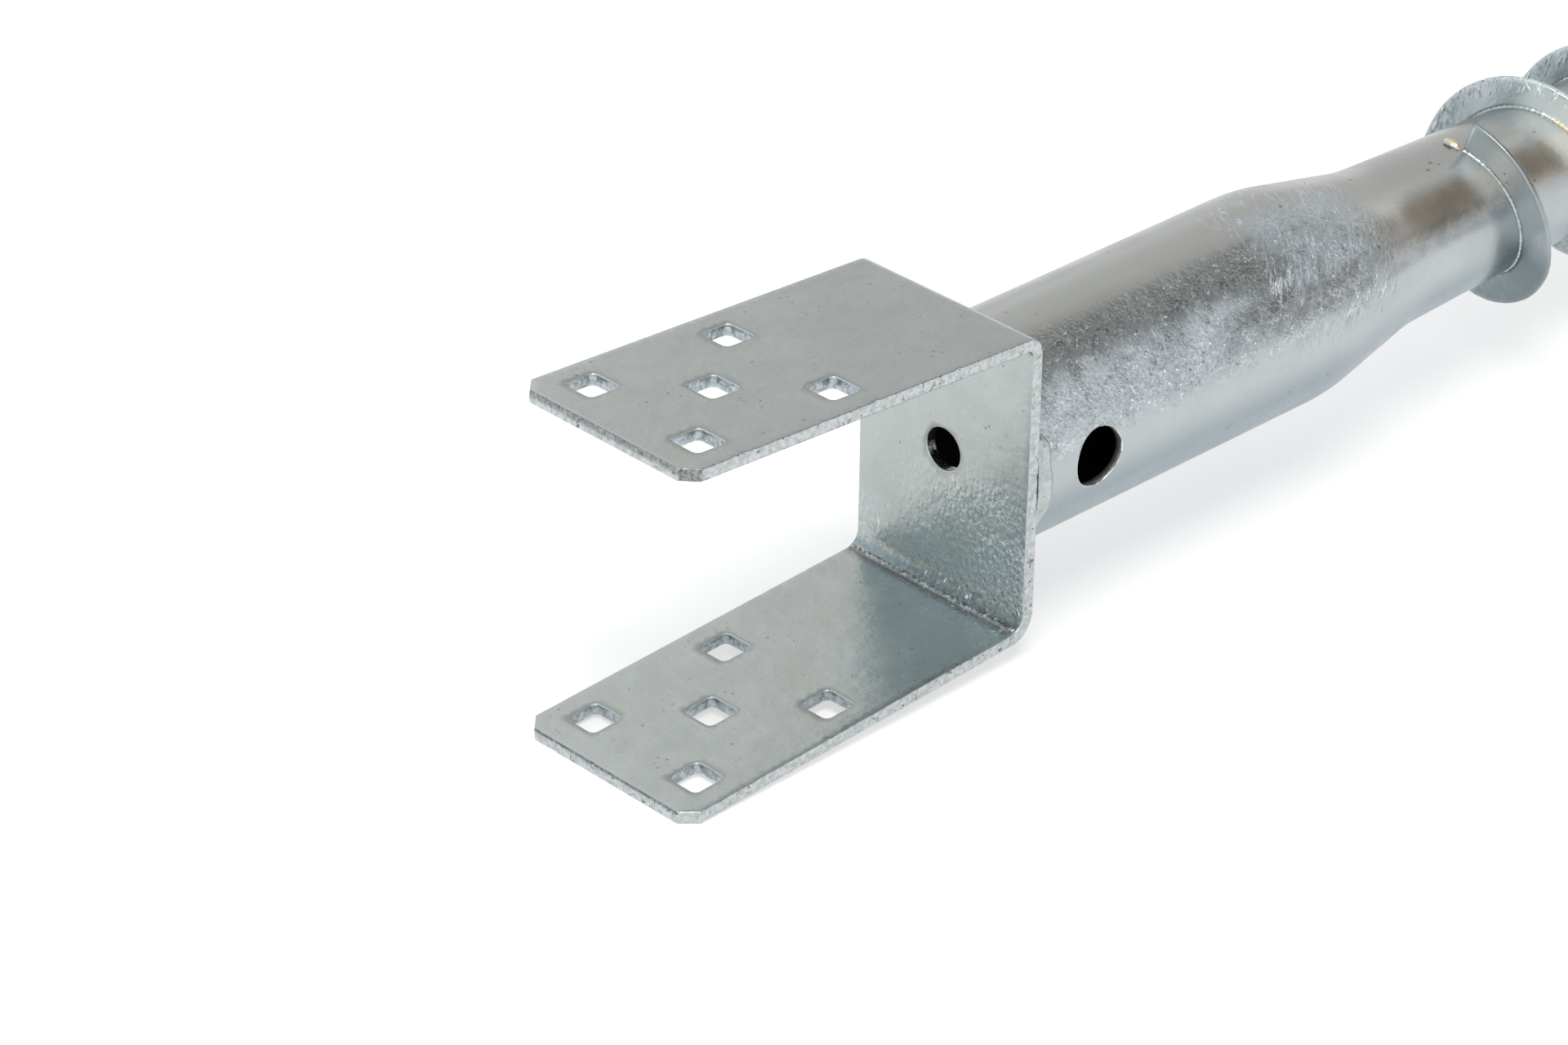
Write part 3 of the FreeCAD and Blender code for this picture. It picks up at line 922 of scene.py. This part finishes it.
class Zinc(Graph):
    """A zinc surface that is built up in layers: tone is its colour and normal its relief so far."""

    def __init__(self, name, pale, deep, cloud_size):
        super().__init__(bpy.data.materials.new(name))
        self.here = self.place()
        self.normal = None
        cloud = self.ramp(self.noise(cloud_size, 4.0, 0.6, 0.4), 0.32, 0.68)
        grain = self.ramp(self.noise(0.0012, 3.0, 0.6), 0.3, 0.7)
        self.tone = self.mix(self.plus(self.times(cloud, 0.7), self.times(grain, 0.3)), deep, pale)

    def noise(self, size, detail=3.0, roughness=0.55, distortion=0.0, at=None):
        """Noise whose lumps are about size metres wide."""
        inputs = {"Vector": self.here if at is None else at, "Scale": 1 / size, "Detail": detail,
                  "Roughness": roughness, "Distortion": distortion}
        return self.node("ShaderNodeTexNoise", inputs).outputs["Fac"]

    def mark(self, name):
        """A value that the mesh carries for each point."""
        return self.node("ShaderNodeAttribute", attribute_name=name).outputs["Fac"]

    def lay(self, tone, share, strength=1.0):
        """Mixes a tone over the colour so far."""
        if strength != 1.0:
            share = self.times(share, strength)
        self.tone = self.mix(share, self.tone, tone)

    def specks(self, size, cover, tone):
        """Lays tiny dark pits over the colour; cover is nearer 1 for fewer."""
        inputs = {"Vector": self.here, "Scale": 1 / size, "Randomness": 1.0}
        dots = self.node("ShaderNodeTexVoronoi", inputs)
        near = self.ramp(dots.outputs["Distance"], 0.10, 0.22, 1.0, 0.0)
        gate = self.ramp(self.noise(size * 3.1, 2.0), cover, cover + 0.04)
        self.lay(tone, self.times(near, gate))

    def emboss(self, height, depth, strength):
        """Adds a relief of a depth in metres."""
        inputs = {"Height": height, "Distance": depth, "Strength": strength}
        if self.normal is not None:
            inputs["Normal"] = self.normal
        self.normal = self.node("ShaderNodeBump", inputs).outputs[0]

    def finish(self, roughness, metallic=1.0):
        self.surface({"Base Color": self.tone, "Metallic": metallic, "Roughness": roughness,
                      "Normal": self.normal})
        return self.owner


def sheet_material():
    zinc = Zinc("galvanised_sheet", (0.50, 0.535, 0.525), (0.445, 0.48, 0.475), 0.016)
    edge, hole, cove, pebble, bead = map(zinc.mark, ("edge", "hole", "cove", "pebble", "bead"))
    # Specks and a mottled grey on the flats
    zinc.specks(0.0030, 0.56, (0.26, 0.26, 0.25))
    zinc.specks(0.0013, 0.58, (0.30, 0.29, 0.27))
    fine = zinc.ramp(zinc.noise(0.0006, 3.0, 0.7), 0.35, 0.65)
    zinc.lay((0.37, 0.395, 0.38), fine, 0.34)
    drift = zinc.ramp(zinc.noise(0.030, 3.0, 0.6, 0.8), 0.40, 0.70)
    zinc.lay((0.43, 0.46, 0.425), drift, 0.5)
    # The lower bend's hollow in painted shade, pebbled zinc above it, the bead and a painted shadow
    # under the bead
    dapple = zinc.ramp(zinc.noise(0.0013, 3.0, 0.7), 0.40, 0.60)
    zinc.lay(zinc.mix(dapple, (0.16, 0.185, 0.185), (0.245, 0.275, 0.275)), cove)
    zinc.lay((0.68, 0.75, 0.78), zinc.times(dapple, zinc.times(pebble, zinc.rest(cove))), 0.45)
    knots = zinc.ramp(zinc.noise(0.0014, 3.0, 0.7), 0.40, 0.60)
    zinc.lay(zinc.mix(knots, (0.19, 0.18, 0.17), (0.66, 0.67, 0.66)), bead)
    zinc.lay((0.13, 0.12, 0.105), zinc.mark("soot"), 0.95)
    # Sheared edges: blotched grey, a dark lip and pits; the holes' walls are a darker grey, pale at
    # both lips as a painted highlight
    blotch = zinc.ramp(zinc.noise(0.0019, 4.0, 0.7), 0.40, 0.60)
    cut = zinc.mix(blotch, (0.56, 0.60, 0.61), (0.42, 0.445, 0.45))
    burr = zinc.ramp(zinc.noise(0.0012, 3.0, 0.7), 0.36, 0.60)
    lip = zinc.times(zinc.mark("lip"), zinc.plus(zinc.times(burr, 0.5), 0.5))
    cut = zinc.mix(lip, cut, (0.11, 0.11, 0.105))
    pits = zinc.ramp(zinc.noise(0.0021, 3.0, 0.7, 0.5), 0.60, 0.66)
    cut = zinc.mix(zinc.times(pits, 0.8), cut, (0.10, 0.10, 0.10))
    wall_grey = zinc.mix(blotch, (0.46, 0.52, 0.55), (0.24, 0.27, 0.285))
    lips = zinc.ramp(zinc.math("ABSOLUTE", zinc.mark("depth")), 0.60, 0.90)
    wall = zinc.mix(lips, wall_grey, (0.62, 0.68, 0.71))
    cut = zinc.mix(zinc.times(hole, 0.85), cut, wall)
    zinc.lay((0.215, 0.215, 0.20), hole, 0.55)
    zinc.lay(cut, edge)
    # Painted glints: bright dashes among the pebbles
    upright = zinc.mapped(zinc.here, scale=(1.0, 1.0, 0.4))
    glints = zinc.ramp(zinc.noise(0.0019, 2.0, 0.6, at=upright), 0.62, 0.70)
    zinc.lay((0.80, 0.87, 0.90), zinc.times(glints, zinc.times(pebble, 0.8)))
    # Relief
    zinc.emboss(zinc.noise(0.007, 2.0, 0.5), 0.00035, 0.6)
    zinc.emboss(zinc.noise(0.0016, 2.0, 0.5), 0.00006, 0.8)
    taller = zinc.mapped(zinc.here, scale=(1.0, 1.0, 0.6))
    zinc.emboss(zinc.times(zinc.noise(0.0015, 2.0, 0.5, at=taller), pebble), 0.00046, 0.9)
    crinkle = zinc.noise(0.0022, 3.0, 0.7, 0.8)
    torn = zinc.times(crinkle, zinc.times(edge, 0.45))
    zinc.emboss(zinc.plus(zinc.times(crinkle, bead), torn), 0.0006, 0.9)
    return zinc.finish(zinc.ramp(zinc.noise(0.010), 0.3, 0.7, 0.24, 0.32))


def tube_material():
    zinc = Zinc("galvanised_tube", (0.50, 0.53, 0.535), (0.45, 0.485, 0.495), 0.022)
    inner, speck_zone = zinc.mark("inner"), zinc.mark("speck_zone")
    # Set by angle round the tube: a beige painted reflection on the top, painted shade past the top on
    # the far side and bluish painted shade on the underside; then the brown patch by the neck.
    layers = (("warm", 0.75, (0.49, 0.495, 0.465)), ("crown", 0.95, (0.31, 0.33, 0.325)),
              ("cool", 0.9, (0.27, 0.33, 0.37)), ("brown", 0.9, (0.70, 0.655, 0.585)))
    for name, strength, tone in layers:
        zinc.lay(tone, zinc.mark(name), strength)
    # Frost in soft patches
    patches = zinc.ramp(zinc.noise(0.013, 4.0, 0.65, 0.6), 0.34, 0.60)
    frost = zinc.times(zinc.mark("frost"), zinc.plus(zinc.times(patches, 0.6), 0.4))
    crystals = zinc.ramp(zinc.noise(0.0011, 3.0, 0.7), 0.36, 0.64)
    zinc.lay(zinc.mix(crystals, (0.36, 0.40, 0.425), (0.55, 0.615, 0.66)), frost)
    # Painted highlight along the frost's middle
    zinc.lay((0.70, 0.78, 0.84), zinc.mark("frost_top"), 0.40)
    # Pale streaks across the step; the marks along and around are in millimetres
    around = zinc.mark("around")
    slanted = zinc.plus(zinc.mark("along"), zinc.times(around, 0.6))
    wrapped = zinc.node("ShaderNodeCombineXYZ", {0: slanted, 1: zinc.times(around, 0.24)}).outputs[0]
    lines = zinc.ramp(zinc.noise(2.0, 4.0, 0.75, 0.4, at=wrapped), 0.52, 0.66)
    streaks = zinc.times(lines, zinc.mark("streak"))
    zinc.lay((0.70, 0.77, 0.82), streaks, 0.75)
    # Painted shade: dark, mottled and ragged bands beside the frost
    shade_mottle = zinc.ramp(zinc.noise(0.006, 4.0, 0.7, 0.8), 0.44, 0.60)
    zinc.lay((0.29, 0.33, 0.36), zinc.times(shade_mottle, speck_zone), 0.35)
    ragged = zinc.ramp(zinc.noise(0.008, 5.0, 0.75, 0.6), 0.34, 0.60, 0.35, 1.0)
    zinc.lay((0.235, 0.25, 0.265), zinc.times(ragged, zinc.mark("shade")), 0.9)
    # Sparkles, pale and dark threads, and specks
    sparkle = zinc.ramp(zinc.noise(0.0015, 2.0, 0.6), 0.66, 0.73)
    zinc.lay((0.88, 0.93, 0.97), zinc.times(sparkle, speck_zone))
    for size, shift, tone in ((0.0030, 0.0, (0.80, 0.86, 0.90)), (0.0036, 0.31, (0.14, 0.14, 0.14))):
        moved = zinc.mapped(zinc.here, location=(shift, 0.0, 0.0))
        level = zinc.math("SUBTRACT", zinc.noise(size, 3.0, 0.6, 0.6, at=moved), 0.5)
        thread = zinc.ramp(zinc.math("ABSOLUTE", level), 0.006, 0.022, 1.0, 0.0)
        some = zinc.ramp(zinc.noise(0.0045, 2.0, at=moved), 0.50, 0.60)
        zinc.lay(tone, zinc.times(zinc.times(thread, some), speck_zone), 0.8)
    zinc.specks(0.0040, 0.60, (0.26, 0.25, 0.24))
    # The bar hole's chipped rim, and painted shade: the tube's inside and the deeper hole wall almost
    # black
    chipped = zinc.ramp(zinc.noise(0.0015, 3.0, 0.7), 0.42, 0.58)
    zinc.lay((0.86, 0.90, 0.93), zinc.times(zinc.mark("hole"), chipped))
    zinc.lay((0.020, 0.019, 0.018), inner)
    # Relief
    zinc.emboss(zinc.noise(0.009, 2.0, 0.5), 0.00012, 0.5)
    zinc.emboss(zinc.noise(0.0012, 3.0, 0.6), 0.00004, 0.8)
    zinc.emboss(zinc.times(zinc.noise(0.0015, 2.0, 0.6, 0.3), speck_zone), 0.00042, 0.9)
    zinc.emboss(streaks, 0.0006, 0.9)
    smooth = zinc.ramp(zinc.noise(0.014), 0.3, 0.7, 0.24, 0.31)
    roughness = zinc.plus(zinc.plus(smooth, zinc.times(frost, 0.14)), zinc.times(inner, 0.6), True)
    return zinc.finish(roughness, zinc.rest(zinc.plus(zinc.times(frost, 0.40), inner)))


def flight_material():
    zinc = Zinc("galvanised_flight", (0.52, 0.575, 0.60), (0.46, 0.51, 0.535), 0.010)
    dull, early = zinc.mark("dull"), zinc.mark("early")
    # Painted reflection over the top of the later turns, painted shade low down and on the far side,
    # mottled in places
    zinc.lay((0.92, 0.99, 1.0), zinc.mark("bright"), 0.95)
    zinc.lay((0.19, 0.235, 0.255), dull, 0.9)
    zinc.specks(0.0030, 0.58, (0.26, 0.27, 0.27))
    zinc.lay(zinc.mix(early, (0.66, 0.71, 0.73), (0.26, 0.28, 0.285)), zinc.mark("rim"), 0.55)
    mottle = zinc.ramp(zinc.noise(0.0024, 4.0, 0.75), 0.40, 0.58)
    mottle = zinc.times(mottle, zinc.times(dull, 0.5))
    zinc.lay((0.52, 0.575, 0.58), zinc.times(mottle, zinc.rest(early)))
    upright = zinc.mapped(zinc.here, scale=(1.0, 1.0, 0.30))
    runs = zinc.noise(0.0015, 1.0, 0.5, at=upright)
    drips = zinc.times(zinc.ramp(runs, 0.50, 0.66), zinc.mark("drip"))
    zinc.lay((0.78, 0.84, 0.87), drips, 0.40)
    zinc.emboss(zinc.noise(0.0016, 3.0, 0.6), 0.00012, 0.7)
    zinc.emboss(drips, 0.00045, 0.9)
    return zinc.finish(zinc.ramp(zinc.noise(0.006), 0.3, 0.7, 0.27, 0.38))


def weld_material():
    zinc = Zinc("galvanised_weld", (0.55, 0.585, 0.59), (0.38, 0.40, 0.40), 0.004)
    zinc.specks(0.0022, 0.56, (0.14, 0.13, 0.12))
    # Gold: a tint along the root weld and a painted highlight over the tack's top; dark: a seam on the
    # head welds and painted shade round the tack's base
    zinc.lay((0.82, 0.66, 0.44), zinc.mark("gold"))
    zinc.lay((0.10, 0.09, 0.08), zinc.mark("burnt"), 0.9)
    zinc.emboss(zinc.noise(0.0018, 3.0, 0.6), 0.0003, 0.8)
    return zinc.finish(zinc.ramp(zinc.noise(0.003), 0.3, 0.7, 0.24, 0.40))


# Studio

PILE_MIDDLE = Vector((0.12, 0.0, 0.0))
FLOOR_REACH = 12.0


def rectangle(name, half_width, half_height, material):
    """A flat rectangle about its own middle."""
    corners = [(x * half_width, y * half_height, 0) for x, y in ((-1, -1), (1, -1), (1, 1), (-1, 1))]
    mesh = bpy.data.meshes.new(name)
    mesh.from_pydata(corners, [], [(0, 1, 2, 3)])
    mesh.materials.append(material)
    return linked(name, mesh)


def card(name, towards, distance, size, rim, middle):
    """A soft-edged studio panel; towards is its azimuth and height in degrees."""
    graph = Graph(bpy.data.materials.new(name))
    half_width, half_height = size[0] / 2, size[1] / 2
    flat = graph.mapped(graph.place(), scale=(1 / half_width, 1 / half_height, 1.0))
    reach = graph.node("ShaderNodeVectorMath", {0: flat}, operation="LENGTH").outputs["Value"]
    glow = graph.surface({
        "Base Color": (0.0, 0.0, 0.0), "Specular IOR Level": 0.0, "Emission Strength": 1.0,
        "Emission Color": graph.mix(graph.ramp(reach, 0.45, 1.0), middle, rim)})
    clear = graph.node("ShaderNodeBsdfTransparent")
    edge = graph.node("ShaderNodeMixShader", {
        0: graph.ramp(reach, 0.85, 1.0), 1: glow, 2: clear.outputs[0]})
    graph.feed(graph.tree.nodes["Material Output"].inputs["Surface"], edge.outputs[0])
    panel = rectangle(name, half_width, half_height, graph.owner)
    around, above = (radians(angle) for angle in towards)
    away = Vector((cos(above) * cos(around), cos(above) * sin(around), sin(above)))
    panel.location = PILE_MIDDLE + away * distance
    panel.rotation_euler = away.to_track_quat("-Z", "Y").to_euler()
    panel.visible_camera = False
    panel.visible_shadow = False


def make_floor(height):
    graph = Graph(bpy.data.materials.new("floor_white"))
    graph.surface({"Base Color": (0.70, 0.70, 0.70), "Roughness": 0.9, "Specular IOR Level": 0.1,
                   "Emission Color": (1.0, 1.0, 1.0), "Emission Strength": 0.48})
    floor = rectangle("floor", FLOOR_REACH, FLOOR_REACH, graph.owner)
    floor.location = (0, 0, height)


def make_world():
    """A white surround, a little weaker where it only lights the pile than where it is seen."""
    graph = Graph(bpy.data.worlds.new("studio"))
    path = graph.node("ShaderNodeLightPath").outputs
    seen = graph.math("MAXIMUM", path["Is Camera Ray"], path["Is Glossy Ray"])
    seen = graph.math("MAXIMUM", seen, path["Is Transmission Ray"])
    graph.surface({"Color": (1.0, 1.0, 1.0), "Strength": graph.ramp(seen, 0.0, 1.0, 0.75, 1.0)},
                  "Background")
    bpy.context.scene.world = graph.owner


def make_lamp():
    light = bpy.data.lights.new("soft_top", "AREA")
    light.shape = "DISK"
    light.size = 1.2
    light.energy = 24
    light.color = (1.0, 0.99, 0.97)
    lamp = linked("soft_top", light)
    lamp.location = (-0.6, -0.8, 2.4)
    lamp.rotation_euler = (PILE_MIDDLE - lamp.location).to_track_quat("-Z", "Y").to_euler()


def make_camera():
    """The photograph's camera, from points on the bracket and tube matched to the CAD."""
    data = bpy.data.cameras.new("camera")
    data.sensor_width = 36.0
    data.lens = 118.925
    data.clip_end = 60.0
    camera = linked("camera", data)
    right = Vector((0.7218, -0.6920, 0.0107)).normalized()
    forward = Vector((0.6033, 0.6216, -0.4995)).normalized()
    up = right.cross(forward).normalized()
    right = forward.cross(up).normalized()
    turn = Matrix((right, up, -forward)).transposed()
    camera.matrix_world = Matrix.Translation((-0.94356, -0.9066, 0.7290)) @ turn.to_4x4()
    bpy.context.scene.camera = camera


def make_studio():
    make_world()
    make_floor(cad_box[0][2])
    card("canopy", (30, 25), 2.6, (2.3, 2.4), (0.86, 0.86, 0.85), (0.69, 0.69, 0.70))
    card("flag", (-30, 32), 2.2, (2.3, 2.4), (0.80, 0.80, 0.80), (0.20, 0.19, 0.17))
    card("overhead", (-6, 62), 2.4, (2.8, 1.8), (0.68, 0.68, 0.66), (0.26, 0.26, 0.25))
    card("left_wall", (134, 36), 2.6, (2.6, 2.4), (0.86, 0.94, 1.0), (0.70, 0.83, 0.92))
    make_lamp()
    bpy.context.scene.view_settings.view_transform = "Standard"


make_bracket(sheet_material())
make_tube(tube_material())
make_flight(flight_material())
weld = weld_material()
make_root_weld(weld)
make_tack(weld)
make_head_weld("head_weld_front", "head_weld_near", -1, weld)
make_head_weld("head_weld_back", "head_weld_far", 1, weld)
make_studio()
make_camera()
